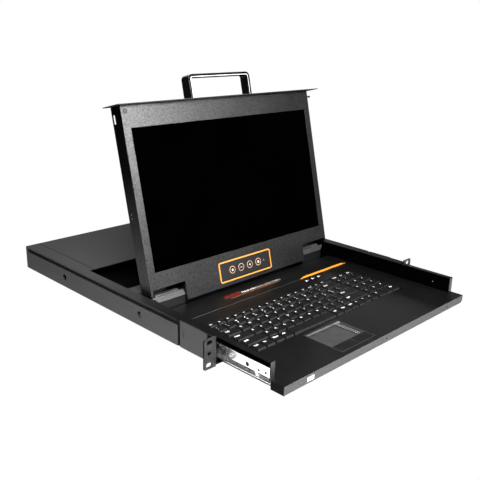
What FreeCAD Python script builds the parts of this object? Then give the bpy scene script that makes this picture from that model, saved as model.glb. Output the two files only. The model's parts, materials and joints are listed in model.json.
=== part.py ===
import FreeCAD, Part
import math
import os

V = FreeCAD.Vector
os.makedirs("parts", exist_ok=True)

# Rackmount LCD console drawer, one rack unit high, in millimetres.
# X runs to the right, Y to the rear, Z up. Y = 0 is the front face of the rack ears.
# While it is built, Z = 0 is the underside of the chassis. Every piece is saved with
# Z = 0 at the mid height of the rack ears, the centre of the four rack holes.
# The drawer is pulled part-way out and the screen stands open, leaning back.

# ---- rack fit ----
rack_w = 482.6              # across both ears
ear_face = 20.5             # one ear, outside the chassis
ear_h = 43.6                # one rack unit less play
ear_t = 2.0
ear_round = 2.5
hole_inset = 8.75           # rack hole column to the end of the ear
hole_span_z = 31.75         # first to third hole of one unit
slot_r = 3.4                # half the width of a rack slot
slot_len = 10.3
mid_hole_r = 3.2

# ---- chassis ----
ear_over = 3.8              # ears taller than the chassis
ear_drop = 0.35             # middle of the ears below the middle of the chassis
sheet = 1.0
bar_t = 1.5                 # ear legs and rear mounting bars
leg_len = 71.0
leg_step = 28.8             # front stretch of a leg that is a little lower
bar_gap = 5.6               # between ear leg and rear mounting bar
bar_low = 8.6               # top of a mounting bar below the top of the chassis
bar_end = 7.4               # full-height stretch at the rear end of a bar
rim_edge = 1.6              # turned-down edge of a top rim, below its sheet
bar_hole_r = 5.0
bar_hole_y = (164.0, 373.0)
bar_hole_z = 18.0
bay_len = 162.4             # electronics bay behind the slides
bay_lip = 12.0              # turned-back edges of the bay's front wall
cover_over = 20.5           # rear cover reaches out in front of the bay
vent_w = 28.0
vent_pitch = 60.0

# ---- electronics in the bay ----
supply_w = 95.0
supply_low = 4.8            # power supply below the cover
supply_lift = 2.0
board_w = 250.0
board_t = 1.6
board_lift = 6.0
post_r = 3.0
screw_in = 60.0             # screws and posts in from the middle
screw_out = 160.0
screw_edge = 20.0
inlet_in = 54.8             # power inlet to the left side wall
inlet_pitch = 43.0          # power inlet to the switch
video_x = 40.0
usb_x = 95.0
usb_pitch = 24.0
port_z = 20.0

# ---- ball-bearing slides ----
slide_w = 9.3               # whole slide, between chassis side and tray
slide_len = 312.0
slide_in = 115.5            # how far the tray still has to go in
slide_t = 1.0
slide_bend = 1.6            # outer bend radius of the members
rail_front = 24.4           # front end of the cabinet members
rail_margin = 4.8           # cabinet member lower than the chassis
rail_drop = 0.8             # middle of the slides below the middle of the ears
mid_short = 38.0            # middle member shorter than the other two
member_gap = 0.5            # between the webs of cabinet and middle members
ball_gap = (1.7, 3.0)       # between the flanges of neighbouring members
ball_play = 0.05
cage_t = 0.6
cage_len = 120.0
cage_play = 0.35

# ---- keyboard tray ----
tray_t = 1.2
tray_bottom = 1.7
tray_play = 0.4             # tray under the top rims
stop_play = 5.8             # closed tray to the electronics bay
lip_play = 0.1              # closed lip to the ears
lip_deep = 21.6             # lip to the front ends of the tray's side walls
lip_in = 4.2                # ends of the lip inside the chassis sides
lip_corner = 5.0            # cut-off lower corner at the right end of the lip
lip_tab_w = 5.6             # folded tab at the left end of the lip
lip_tab_t = 0.3
flange_in = 3.3             # turned-out flanges inside the chassis sides
flange_t = 0.9
rim_over = 4.2              # top rims reach in over the tray
cover_in = 13.7             # sides of the rear cover inside the tray sides
deck_top = 13.9
shelf_len = 26.7            # shelf behind the screen
shelf_room = 21.8           # hinge axis to the shelf
deck_room = 14.7            # deck to the hinge axis
post_in = 19.3              # deck posts inside the tray walls
ridge_x = (-168.0, 71.0)    # pressed ridge across the deck
ridge_room = 32.2           # keys to the ridge
ridge_w = 1.2
ridge_h = 0.5

# ---- keyboard and touchpad ----
key_x = 18.6                # key pitch
key_y = 18.8
pad_col = 19.6              # pitch of the number pad
pad_room = 2.0              # main block to number pad
keys_shift = -2.1           # middle of the keys off the middle of the drawer
key_room = 85.0             # lip to the first row
key_over = 1.7              # key tops above the deck
key_h = 4.2
key_gap = 1.6
key_edge = 1.0              # keys to the edge of their opening
stem = 3.2
stem_play = 0.05
fn_pitch = 16.8
fn_deep = 10.6
fn_room = 0.8
base_top = 9.0              # plate under the keys
base_over = 4.0
touch_left = -91.5
touch_w = 76.5
touch_rim = 1.5
touch_front = 8.6           # touchpad frame to lip
touch_rear = 8.0            # touchpad frame to keys
touch_floor = 9.8
button_deep = 16.8
button_w = 38.7             # left button
button_play = 0.2
plate_w = 59.0

# ---- screen ----
tilt = 13.23                # degrees past upright
axis_drop = 7.6             # hinge axis below the top of the tray
shell_side = 2.9            # screen shell to top rim, each side
shell_d = 24.0
shell_low = 13.2            # hinge axis down to the lower edge
shell_t = 1.2
key_play = 0.9              # folded bezel over the key tops
fold_over = 0.4             # folded shell past the lip
back_depth = 13.8           # front of the bezel to the recessed back
bezel_w = 13.2              # picture to the sides of the shell
screen_up = 40.8            # lower edge of the picture above the hinge axis
top_band = 32.6             # picture to the upper edge of the shell
module_in = 3.2             # display module inside the shell's side wall
module_over = 9.0           # display module below the picture
module_h = 18.2             # display module taller than the picture
module_deep = 8.8
notch_edge = 3.9            # hinge notch to the side of the shell
notch_w = 62.1
notch_up = 16.0             # roof of the notches above the hinge axis
notch_side = 6.8
panel_play = 0.1            # ends of the front panel inside the lip's ends
panel_t = 1.2
panel_less = 3.6            # front panel lower than the ears
panel_rise = 0.7            # folded front panel under the tray's top
latch_up = 21.8             # latch pin above the picture
side_slot_up = 14.7
grip_half = 66.4            # handle
grip_t = 4.5
grip_w = 18.2
grip_reach = 38.6
grip_r = 8.0
grip_back = 3.7
osd_x = (-67.0, 52.3)       # button panel
osd_z = (-6.7, 27.3)
osd_trim = 2.2
osd_t = 0.8
osd_first = -38.5
osd_pitch = 20.0
osd_up = 10.6
ring_r = 6.3
cap_r = 5.0
cap_play = 0.2

# ---- hinges ----
shaft_r = 4.0
shaft_play = 0.05
barrel_r = 6.8
barrel_len = 44.0
block_play = 0.3            # hinge block to the notch
block_w = 52.3
leaf_in = 3.4               # leaf to the notch
leaf_w = 18.0
leaf_h = 90.0
pin_r = 1.2
pin_play = 0.05
pin_len = 26.0
pin_out = 9.1               # end of the latch pin outside the shell

# ---- what follows from these ----
body_w = rack_w - 2 * ear_face
body_h = ear_h - ear_over
body_half = body_w / 2
wall_in = body_half - sheet
rim_z = body_h - sheet
rack_z = body_h / 2 - ear_drop
bay_y = rail_front + slide_len + 4.6
body_len = bay_y + bay_len
panel_y = body_len - sheet
inlet_x = inlet_in - wall_in
switch_x = inlet_x + inlet_pitch
tray_half = wall_in - slide_w
tray_top = rim_z - tray_play
tray_rear = bay_y - slide_in - stop_play
lip_front = -slide_in - lip_play
lip_half = body_half - lip_in
wall_front = lip_front + lip_deep
flange_half = body_half - flange_in
shelf_y = tray_rear - shelf_len
axis_y = shelf_y - shelf_room
axis_z = tray_top - axis_drop
deck_rear = axis_y - deck_room
rim_in = tray_half - rim_over
cover_half = tray_half - cover_in
key_top = deck_top + key_over
shell_half = rim_in - shell_side
shell_front = axis_z - key_top - key_play
screen_w = 2 * (shell_half - bezel_w)
screen_h = axis_y - lip_front + fold_over - screen_up - top_band
notch_out = shell_half - notch_edge
notch_in = notch_out - notch_w


def box(x0, x1, y0, y1, z0, z1):
    return Part.makeBox(x1 - x0, y1 - y0, z1 - z0, V(x0, y0, z0))


def rod(r, length, start, along):
    return Part.makeCylinder(r, length, start, along)


def prism_x(points, x0, x1):
    """A (y, z) outline pulled along X."""
    ring = [V(x0, y, z) for y, z in points]
    return Part.Face(Part.makePolygon(ring + ring[:1])).extrude(V(x1 - x0, 0, 0))


def flip(shape):
    """The same piece on the other side of the drawer."""
    return shape.mirror(V(0, 0, 0), V(1, 0, 0))


def save(shape, node):
    out = shape.copy()
    out.translate(V(0, 0, -rack_z))
    out.exportStep("parts/" + node + ".step")


def save_pair(shape, node):
    """shape is the piece on the right, at positive X."""
    save(shape, node + "_right")
    save(flip(shape), node + "_left")


def save_both(shape, node):
    """The right and left pieces together in one file."""
    save(Part.makeCompound([shape, flip(shape)]), node)


def spread(shape, places):
    pieces = []
    for x, y, z in places:
        piece = shape.copy()
        piece.translate(V(x, y, z))
        pieces.append(piece)
    return Part.makeCompound(pieces)


# ================= chassis =================
bar_out = body_half + bar_t
bar_y0 = leg_len + bar_gap

pan = box(-body_half, body_half, 0, body_len, 0, rim_z)
pan = pan.cut(box(-wall_in, wall_in, -1, body_len + 1, sheet, rim_z + 1))
for y in bar_hole_y:
    pan = pan.cut(rod(bar_hole_r, 2 * body_w, V(-body_w, y, bar_hole_z), V(1, 0, 0)))
for k in range(6):
    x = (k - 2.5) * vent_pitch
    for y in (body_len - 90, body_len - 78):
        pan = pan.cut(box(x - vent_w / 2, x + vent_w / 2, y, y + 4, -1, sheet + 1))
save(pan, "chassis_pan")

# Top rims: a flat strip along each side, wider beside the rear cover, with a turned-down edge.
cover_y = bay_y - cover_over
rim = box(rim_in, body_half, 0, cover_y, rim_z, body_h)
rim = rim.fuse(box(cover_half + 0.3, body_half, cover_y, body_len, rim_z, body_h))
rim = rim.fuse(box(body_half, bar_out, bar_y0, body_len, rim_z - rim_edge, body_h))
save_both(rim.removeSplitter(), "top_rims")

# Rack ears: face with two slots and a round hole, and a leg along the chassis side.
ear_z0 = rack_z - ear_h / 2
ear_z1 = rack_z + ear_h / 2
ear = box(body_half, rack_w / 2, 0, ear_t, ear_z0, ear_z1)
ear = ear.makeFillet(ear_round, [e for e in ear.Edges if abs(e.CenterOfMass.x - rack_w / 2) < 0.01
                           and abs(e.CenterOfMass.y - ear_t / 2) < 0.01])
hole_x = rack_w / 2 - hole_inset
slot_half = slot_len / 2 - slot_r
for z in (rack_z - hole_span_z / 2, rack_z + hole_span_z / 2):
    cutter = box(hole_x - slot_half, hole_x + slot_half, -1, ear_t + 1, z - slot_r, z + slot_r)
    for dx in (-slot_half, slot_half):
        cutter = cutter.fuse(rod(slot_r, ear_t + 2, V(hole_x + dx, -1, z), V(0, 1, 0)))
    ear = ear.cut(cutter)
ear = ear.cut(rod(mid_hole_r, ear_t + 2, V(hole_x, -1, rack_z), V(0, 1, 0)))
leg = box(body_half, bar_out, ear_t, leg_len, 0, body_h)
leg = leg.cut(box(body_half - 1, bar_out + 1, ear_t, leg_step, body_h - 0.7, body_h + 1))
save_pair(ear.fuse(leg).removeSplitter(), "rack_ear")

# Rear mounting bars lie flat on the chassis sides.
bar = box(body_half, bar_out, bar_y0, body_len, 0, body_h - bar_low)
for y in bar_hole_y:
    bar = bar.cut(rod(bar_hole_r, 2 * bar_t + 2, V(body_half - 1, y, bar_hole_z), V(1, 0, 0)))
bar = bar.fuse(box(body_half, bar_out, body_len - bar_end, body_len, 0, rim_z - rim_edge))
save_both(bar.removeSplitter(), "mount_bars")

# Electronics bay at the rear: front wall with a shelf under the cover, cover and rear panel.
bay_half = tray_half - 2.0
bay = box(-bay_half, bay_half, bay_y, bay_y + sheet, sheet, rim_z)
bay = bay.fuse(box(-bay_half, bay_half, bay_y, bay_y + bay_lip, rim_z - sheet, rim_z))
bay = bay.fuse(box(-bay_half, bay_half, bay_y, bay_y + bay_lip, sheet, 2 * sheet))
bay = bay.cut(box(-30, 30, bay_y - 1, bay_y + sheet + 1, 12, 24))
save(bay.removeSplitter(), "bay_wall")

cover = box(-cover_half, cover_half, cover_y, body_len, rim_z, body_h)
save(cover, "rear_cover")

rear = box(-wall_in, wall_in, panel_y, body_len, sheet, rim_z)
rear = rear.cut(box(inlet_x - 14, inlet_x + 14, panel_y - 1, body_len + 1, port_z - 10, port_z + 10))
rear = rear.cut(box(switch_x - 6.6, switch_x + 6.6, panel_y - 1, body_len + 1,
                    port_z - 9.6, port_z + 9.6))
rear = rear.cut(box(video_x - 12.5, video_x + 12.5, panel_y - 1, body_len + 1,
                    port_z - 5, port_z + 5))
for x in (usb_x, usb_x + usb_pitch):
    rear = rear.cut(box(x - 6.7, x + 6.7, panel_y - 1, body_len + 1, port_z - 3.4, port_z + 3.4))
for k in range(9):
    x = -80 + 10 * k
    rear = rear.cut(box(x - 1.5, x + 1.5, panel_y - 1, body_len + 1, 8, 32))
save(rear, "rear_panel")

# Three-pin inlet: a flanged shell with a blind cavity and three flat blades.
inlet = box(inlet_x - 13.9, inlet_x + 13.9, panel_y - 22, body_len, port_z - 9.9, port_z + 9.9)
inlet = inlet.fuse(box(inlet_x - 20, inlet_x + 20, body_len, body_len + 2.5,
                       port_z - 13, port_z + 13))
inlet = inlet.cut(box(inlet_x - 12, inlet_x + 12, body_len - 14, body_len + 3,
                      port_z - 8, port_z + 8))
for dx, dz in ((-7, -2.4), (0, 2.4), (7, -2.4)):
    x, z = inlet_x + dx, port_z + dz
    inlet = inlet.fuse(box(x - 1, x + 1, body_len - 16, body_len - 1.5, z - 2, z + 2))
save(inlet.removeSplitter(), "power_inlet")

# Rocker switch: body, and a rocker that tips about a pin along X.
rocker_y = body_len - 1.0
shell = box(switch_x - 6.5, switch_x + 6.5, panel_y - 16, body_len, port_z - 9.5, port_z + 9.5)
shell = shell.fuse(box(switch_x - 7.5, switch_x + 7.5, body_len, body_len + 1.2,
                       port_z - 10.5, port_z + 10.5))
shell = shell.cut(box(switch_x - 5, switch_x + 5, body_len - 9, body_len + 2,
                      port_z - 8.2, port_z + 8.2))
shell = shell.cut(rod(1.3, 12, V(switch_x - 6, rocker_y, port_z), V(1, 0, 0)))
save(shell.removeSplitter(), "switch_body")
rocker = prism_x([(rocker_y - 2, port_z - 7), (rocker_y + 3.6, port_z - 7.2),
                  (rocker_y + 1.8, port_z), (rocker_y + 1.4, port_z + 7.4),
                  (rocker_y - 2, port_z + 7)], switch_x - 4.7, switch_x + 4.7)
rocker = rocker.fuse(rod(1.25, 11.6, V(switch_x - 5.8, rocker_y, port_z), V(1, 0, 0)))
save(rocker.removeSplitter(), "switch_rocker")

# Video and USB sockets.
video = box(video_x - 12.4, video_x + 12.4, panel_y - 12, body_len, port_z - 4.9, port_z + 4.9)
video = video.fuse(prism_x([(body_len, port_z - 4.2), (body_len + 5.5, port_z - 4.2),
                            (body_len + 5.5, port_z + 4.2), (body_len, port_z + 4.2)],
                           video_x - 8.2, video_x + 8.2))
video = video.fuse(box(video_x - 15.4, video_x + 15.4, body_len, body_len + 0.8,
                       port_z - 6.2, port_z + 6.2))
for row, z in enumerate((port_z - 2.2, port_z, port_z + 2.2)):
    for k in range(5):
        x = video_x - 4.6 + 2.3 * k + (row - 1) * 0.5
        video = video.cut(box(x - 0.4, x + 0.4, body_len - 1, body_len + 6, z - 0.4, z + 0.4))
save(video.removeSplitter(), "video_socket")
usb = box(-6.6, 6.6, panel_y - 14, body_len + 0.8, -3.3, 3.3)
usb = usb.cut(box(-6.1, 6.1, body_len - 10, body_len + 2, -2.8, 2.8))
usb = usb.fuse(box(-5.4, 5.4, body_len - 11, body_len - 0.6, 0.4, 1.9))
sockets = [(usb_x, 0, port_z), (usb_x + usb_pitch, 0, port_z)]
save(spread(usb.removeSplitter(), sockets), "usb_sockets")

# Inside the bay: power supply and switching board on posts.
supply_x = (8.5 - bay_half, 8.5 - bay_half + supply_w)
supply_y = (bay_y + 30, panel_y - 26)
supply = box(*supply_x, *supply_y, sheet + supply_lift, rim_z - supply_low)
save(supply, "power_supply")
board_x = (bay_half - 18.5 - board_w, bay_half - 18.5)
board_y = (bay_y + 25, panel_y - 6)
board_z = sheet + board_lift + board_t
board = box(*board_x, *board_y, sheet + board_lift, board_z)
for dx, dy, w, d, h in ((60, 34, 22, 22, 3), (120, 29, 28, 28, 3.5), (180, 44, 16, 24, 6),
                        (25, 54, 18, 30, 12), (220, 84, 14, 14, 9)):
    x, y = board_x[0] + dx, board_y[0] + dy
    board = board.fuse(box(x - w / 2, x + w / 2, y, y + d, board_z, board_z + h))
save(board.removeSplitter(), "switch_board")
post = rod(post_r, board_lift, V(0, 0, sheet), V(0, 0, 1))
feet = [(x, y, 0) for x in (board_x[0] + 10, board_x[1] - 10)
        for y in (board_y[0] + 8, board_y[1] - 8)]
low_post = rod(post_r, supply_lift, V(0, 0, sheet), V(0, 0, 1))
low_feet = [(x, y, 0) for x in (supply_x[0] + 10, supply_x[1] - 10)
            for y in (supply_y[0] + 10, supply_y[1] - 10)]
save(Part.makeCompound([spread(post, feet), spread(low_post, low_feet)]), "bay_posts")

# ================= slides =================
rail_z = rack_z - rail_drop
rail_h = [body_h - rail_margin]     # cabinet, middle and drawer members
for gap in ball_gap:
    rail_h.append(rail_h[-1] - 2 * slide_t - 2 * gap)
rail_in = tray_half                 # inner face of the whole slide
rail_out = wall_in                  # outer face of the whole slide
web_out = rail_out - slide_t
mid_out = web_out - member_gap
mid_in = mid_out - slide_t
cage_out = mid_in - cage_play
drawer_tip = cage_out - cage_t - 0.2


def channel(height, x_back, x_tip, y0, length):
    """A bent C rail: its web has its back at x_back, and both flanges reach x_tip."""
    half = height / 2
    inward = 1 if x_tip > x_back else -1
    web = x_back + inward * slide_t
    low, high = min(x_back, x_tip), max(x_back, x_tip)
    solid = box(low, high, y0, y0 + length, rail_z - half, rail_z + half)
    bends = [e for e in solid.Edges if e.BoundBox.YLength > length - 1
             and abs(e.CenterOfMass.x - x_back) < 0.01]
    solid = solid.makeFillet(slide_bend, bends)
    low, high = min(web, x_tip + inward), max(web, x_tip + inward)
    hollow = box(low, high, y0 - 1, y0 + length + 1, rail_z - half + slide_t,
                 rail_z + half - slide_t)
    bends = [e for e in hollow.Edges if e.BoundBox.YLength > length - 1
             and abs(e.CenterOfMass.x - web) < 0.01]
    return solid.cut(hollow.makeFillet(slide_bend - slide_t, bends))


cabinet = channel(rail_h[0], rail_out, rail_in + 0.8, rail_front, slide_len)
cabinet = cabinet.cut(rod(bar_hole_r + 0.5, 6, V(web_out - 2, bar_hole_y[0], bar_hole_z),
                          V(1, 0, 0)))
for y in (36.0, slide_len - 87, slide_len - 17):
    cabinet = cabinet.cut(rod(2.2, 6, V(web_out - 2, rail_front + y, rail_z), V(1, 0, 0)))
save_both(cabinet, "slide_cabinets")

mid_len = slide_len - mid_short
mid_y = rail_front + mid_short - 0.65 - slide_in / 2
middle = channel(rail_h[1], mid_out, rail_in + 1.2, mid_y, mid_len)
for y in (14, 100, mid_len - 100, mid_len - 16):
    middle = middle.cut(rod(2.6, 6, V(mid_in - 2, mid_y + y, rail_z), V(1, 0, 0)))
save_both(middle, "slide_middles")

# Drawer member: fixing holes, a pressed stop across the web and a rivet head.
drawer_y = wall_front + tray_t
web_face = rail_in + slide_t
drawer = channel(rail_h[2], rail_in, drawer_tip, drawer_y, slide_len)
for y, dz, r in ((12.1, -1.6, 1.6), (24.1, -2.3, 1.6), (44.3, -1.9, 3.0),
                 (slide_len - 162, 0, 2.6), (slide_len - 52, 0, 2.6)):
    drawer = drawer.cut(rod(r, 6, V(rail_in - 2, drawer_y + y, rail_z + dz), V(1, 0, 0)))
stop_y = drawer_y + 26.6
drawer = drawer.fuse(box(web_face, web_face + 1.6, stop_y, stop_y + 2.4,
                         rail_z - rail_h[2] / 2 + slide_t, rail_z + 4.0))
drawer = drawer.fuse(rod(3.2, 0.7, V(web_face, drawer_y + 75.3, rail_z - 1.6), V(1, 0, 0)))
save_both(drawer.removeSplitter(), "slide_drawers")

# Ball cages: a thin C strip with balls in its two edges, one cage in each gap.
ball_rows = (8.0, cage_len / 2, cage_len - 8.0)


def cage(k, x_web, x_tip, y0):
    """Cage strip and balls running inside member k, around member k + 1."""
    gap_mid = (rail_h[k] - 2 * slide_t + rail_h[k + 1]) / 4
    ball_r = ball_gap[k] / 2 - ball_play
    if k == 0:
        strips = []
        for side in (-1, 1):
            z = rail_z + side * gap_mid
            strips.append(box(x_tip, x_web, y0, y0 + cage_len, z - cage_t / 2, z + cage_t / 2))
        body = Part.makeCompound(strips)
    else:
        half = gap_mid + cage_t / 2
        body = box(x_tip, x_web, y0, y0 + cage_len, rail_z - half, rail_z + half)
        body = body.cut(box(x_tip - 1, x_web - cage_t, y0 - 1, y0 + cage_len + 1,
                            rail_z - half + cage_t, rail_z + half - cage_t))
    balls = []
    for y in ball_rows:
        for side in (-1, 1):
            centre = V((x_tip + x_web) / 2, y0 + y, rail_z + side * gap_mid)
            balls.append(Part.makeSphere(ball_r, centre))
            body = body.cut(rod(ball_r + 0.05, 4, centre - V(0, 0, 2), V(0, 0, 1)))
    return body, Part.makeCompound(balls)


strip, balls = cage(0, mid_out + 0.2, rail_in + 2.4, rail_front + 56)
save_both(strip, "cages_outer")
save_both(balls, "balls_outer")
strip, balls = cage(1, cage_out, rail_in + 2.4, mid_y + 47.5)
save_both(strip, "cages_inner")
save_both(balls, "balls_inner")

# ================= keyboard tray =================
tray_in = tray_half - tray_t
floor_top = tray_bottom + tray_t
tray = box(-tray_half, tray_half, lip_front + tray_t, tray_rear, tray_bottom, floor_top)
tray = tray.fuse(box(-tray_half, tray_half, tray_rear - tray_t, tray_rear,
                     tray_bottom, tray_top - 1.0))
for side in (-1, 1):
    a, b = sorted((side * tray_in, side * tray_half))
    tray = tray.fuse(box(a, b, wall_front, tray_rear, tray_bottom, tray_top))
    a, b = sorted((side * tray_half, side * flange_half))
    tray = tray.fuse(box(a, b, wall_front, tray_rear, tray_top - flange_t, tray_top))
    tray = tray.fuse(box(a, b, wall_front, wall_front + tray_t, deck_top, tray_top))
    tray = tray.cut(rod(1.6, 8, V(side * tray_half - 4, wall_front + 30, 25.0), V(1, 0, 0)))
save(tray.removeSplitter(), "tray_pan")

# Shelf behind the screen, screwed to the tray's walls.
shelf = box(-tray_in, tray_in, shelf_y, tray_rear - tray_t, tray_top - 2.2, tray_top - 1.0)
shelf = shelf.fuse(box(-tray_in, tray_in, shelf_y, shelf_y + tray_t, floor_top, tray_top - 1.0))
shelf = shelf.cut(box(-40, 40, shelf_y - 1, shelf_y + tray_t + 1, 8, 22))
save(shelf.removeSplitter(), "rear_shelf")

# Deck: the plate around the keys, with the turned-down front lip and side skirts.
deck_under = deck_top - tray_t
deck = box(-tray_in, tray_in, wall_front, deck_rear, deck_under, deck_top)
deck = deck.fuse(box(-lip_half, lip_half, lip_front, wall_front, deck_under, deck_top))
lip = box(-lip_half, lip_half, lip_front, lip_front + tray_t, tray_bottom, deck_top)
corner = [V(lip_half, lip_front - 1, tray_bottom - 1),
          V(lip_half - lip_corner, lip_front - 1, tray_bottom - 1),
          V(lip_half, lip_front - 1, tray_bottom - 1 + lip_corner)]
lip = lip.cut(Part.Face(Part.makePolygon(corner + corner[:1])).extrude(V(0, tray_t + 2, 0)))
lip = lip.fuse(box(-lip_half, lip_tab_w - lip_half, lip_front - lip_tab_t, lip_front,
                   tray_bottom, deck_top))
deck = deck.fuse(box(lip_half - tray_t, lip_half, lip_front, wall_front,
                     tray_bottom - 0.7 + lip_corner, deck_top))
deck = deck.fuse(box(-lip_half, tray_t - lip_half, lip_front, wall_front, tray_bottom, deck_top))
deck = deck.fuse(lip)
deck = deck.fuse(box(-tray_in, tray_in, deck_rear - tray_t, deck_rear, floor_top, deck_top))
for x in (0.0, 167.0):
    deck = deck.cut(rod(1.4, tray_t + 2, V(x, lip_front - 1, 7.4), V(0, 1, 0)))
main_w = 15 * key_x
keys_w = main_w + pad_room + 3 * pad_col
key_left = keys_shift - keys_w / 2
keys_x1 = key_left + keys_w
key_front = lip_front + key_room
fn_y = key_front + 5 * key_y + fn_room
keys_y1 = fn_y + fn_deep + key_gap
pad_x = (touch_left, touch_left + touch_w)
pad_y = (lip_front + touch_front, key_front - touch_rear)
deck = deck.cut(box(key_left - key_edge, keys_x1 + key_edge, key_front - key_edge,
                    keys_y1 + key_edge, 0, deck_top + 1))
deck = deck.cut(box(*pad_x, *pad_y, deck_under - 1, deck_top + 1))
ridge_y = keys_y1 + ridge_room
ridge = box(*ridge_x, ridge_y - ridge_w, ridge_y, deck_top, deck_top + ridge_h)
save(deck.fuse(ridge).removeSplitter(), "deck_plate")

deck_post = rod(post_r, deck_under - floor_top, V(0, 0, floor_top), V(0, 0, 1))
post_x = tray_in - post_in
front_y, rear_y = wall_front - 10, deck_rear - 26.5
deck_places = [(x, y, 0) for x in (-post_x, post_x) for y in (front_y, 20, rear_y)]
deck_places += [(x, rear_y, 0) for x in (-screw_in, screw_in)]
deck_places += [(x, front_y + 4, 0) for x in (pad_x[0] - 38.5, pad_x[1] + 75)]
base_post = rod(post_r, base_top - tray_t - floor_top, V(0, 0, floor_top), V(0, 0, 1))
base_places = [(x, y, 0) for x in (key_left + 1, keys_x1 - 1) for y in (key_front, keys_y1)]
save(Part.makeCompound([spread(deck_post, deck_places), spread(base_post, base_places)]),
     "deck_posts")

# Keys: low tapered caps, each with a square stem that slides in the base plate.
key_under = key_top - key_h
stem_low = base_top - tray_t - 0.6


def cap(x0, x1, y0, y1):
    """One key cap between its pitch lines, with its stem."""
    g = key_gap / 2
    low = [V(x0 + g, y0 + g, key_under), V(x1 - g, y0 + g, key_under),
           V(x1 - g, y1 - g, key_under), V(x0 + g, y1 - g, key_under)]
    high = [V(x0 + g + 1.6, y0 + g + 2.0, key_top), V(x1 - g - 1.6, y0 + g + 2.0, key_top),
            V(x1 - g - 1.6, y1 - g - 1.0, key_top), V(x0 + g + 1.6, y1 - g - 1.0, key_top)]
    wires = [Part.makePolygon(low + low[:1]), Part.makePolygon(high + high[:1])]
    solid = Part.makeLoft(wires, True, True)
    xc, yc, h = (x0 + x1) / 2, (y0 + y1) / 2, stem / 2
    stems.append((xc, yc))
    return solid.fuse(box(xc - h, xc + h, yc - h, yc + h, stem_low, key_under))


def key_row(widths, row, x0=key_left, unit=key_x):
    """A row of caps; widths are in key pitches."""
    caps = []
    y0 = key_front + row * key_y
    for w in widths:
        caps.append(cap(x0, x0 + w * unit, y0, y0 + key_y))
        x0 += w * unit
    return Part.makeCompound(caps)


stems = []
space_at = key_left + 4 * key_x
space_w = 5.2
left_mods = key_row([1, 1, 1, 1], 0)
right_mods = key_row([1, 1, 1], 0, space_at + space_w * key_x)
arrow_x = space_at + (space_w + 3) * key_x
arrow_w = (key_left + main_w - arrow_x) / key_x / 3
arrows = key_row([arrow_w, arrow_w, arrow_w], 0, arrow_x)
save(Part.makeCompound([left_mods, right_mods, arrows]), "keys_space_row")
save(key_row([space_w], 0, space_at), "key_space")
save(key_row([2.3] + 10 * [1] + [2.7], 1), "keys_shift_row")
save(key_row([1.8] + 11 * [1] + [2.2], 2), "keys_home_row")
save(key_row([1.5] + 12 * [1] + [1.5], 3), "keys_tab_row")
save(key_row(13 * [1] + [2], 4), "keys_number_row")
fn_caps = []
x = key_left
for k in range(16):
    x_end = x + fn_pitch if k < 15 else key_left + main_w
    fn_caps.append(cap(x, x_end, fn_y, fn_y + fn_deep + key_gap))
    x = x_end
save(Part.makeCompound(fn_caps), "keys_function_row")
num_x = key_left + main_w + pad_room
num_caps = [key_row([1, 1, 1], row, num_x, pad_col) for row in range(5)]
for k in range(3):
    num_caps.append(cap(num_x + k * pad_col, num_x + (k + 1) * pad_col,
                        fn_y, fn_y + fn_deep + key_gap))
save(Part.makeCompound(num_caps), "keys_number_pad")

base = box(key_left - base_over, keys_x1 + base_over, key_front - base_over,
           keys_y1 + base_over, base_top - tray_t, base_top)
h = stem / 2 + stem_play
holes = [box(x - h, x + h, y - h, y + h, base_top - tray_t - 1, base_top + 1) for x, y in stems]
save(base.cut(Part.makeCompound(holes)), "keyboard_base")

# Touchpad: frame with a ridge at the rear, pad plate, and two buttons on square stems.
frame = box(*pad_x, *pad_y, touch_floor, deck_top + 0.2)
button_y = (pad_y[0] + 1.2, pad_y[0] + 1.2 + button_deep)
left_x = pad_x[0] + touch_rim
split_x = left_x + button_w
right_x = pad_x[1] - touch_rim
frame = frame.cut(box(left_x, split_x, *button_y, touch_floor + 1, deck_top + 1))
frame = frame.cut(box(split_x + 1, right_x, *button_y, touch_floor + 1, deck_top + 1))
plate_box = (left_x, left_x + plate_w, button_y[1] + 1.2, pad_y[1] - 8.6)
frame = frame.cut(box(*plate_box, deck_top - 1.4, deck_top + 1))
frame = frame.fuse(box(left_x, pad_x[1] - 3, pad_y[1] - 8.2, pad_y[1] - 5.4,
                       deck_top + 0.2, deck_top + 1.1))
pad_keys = []
for x0, x1 in ((left_x, split_x), (split_x + 1, right_x)):
    xc, yc = (x0 + x1) / 2, sum(button_y) / 2
    frame = frame.cut(box(xc - h, xc + h, yc - h, yc + h, touch_floor - 1, touch_floor + 2))
    button = box(x0 + button_play, x1 - button_play, button_y[0] + button_play,
                 button_y[1] - button_play, touch_floor + 1.7, deck_top)
    s = stem / 2
    button = button.fuse(box(xc - s, xc + s, yc - s, yc + s,
                             touch_floor - 0.6, touch_floor + 1.7))
    pad_keys.append(button.removeSplitter())
save(frame.removeSplitter(), "touchpad_frame")
save(box(*plate_box, deck_top - 1.4, deck_top - 0.3), "touchpad_plate")
save(pad_keys[0], "touchpad_button_left")
save(pad_keys[1], "touchpad_button_right")

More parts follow.
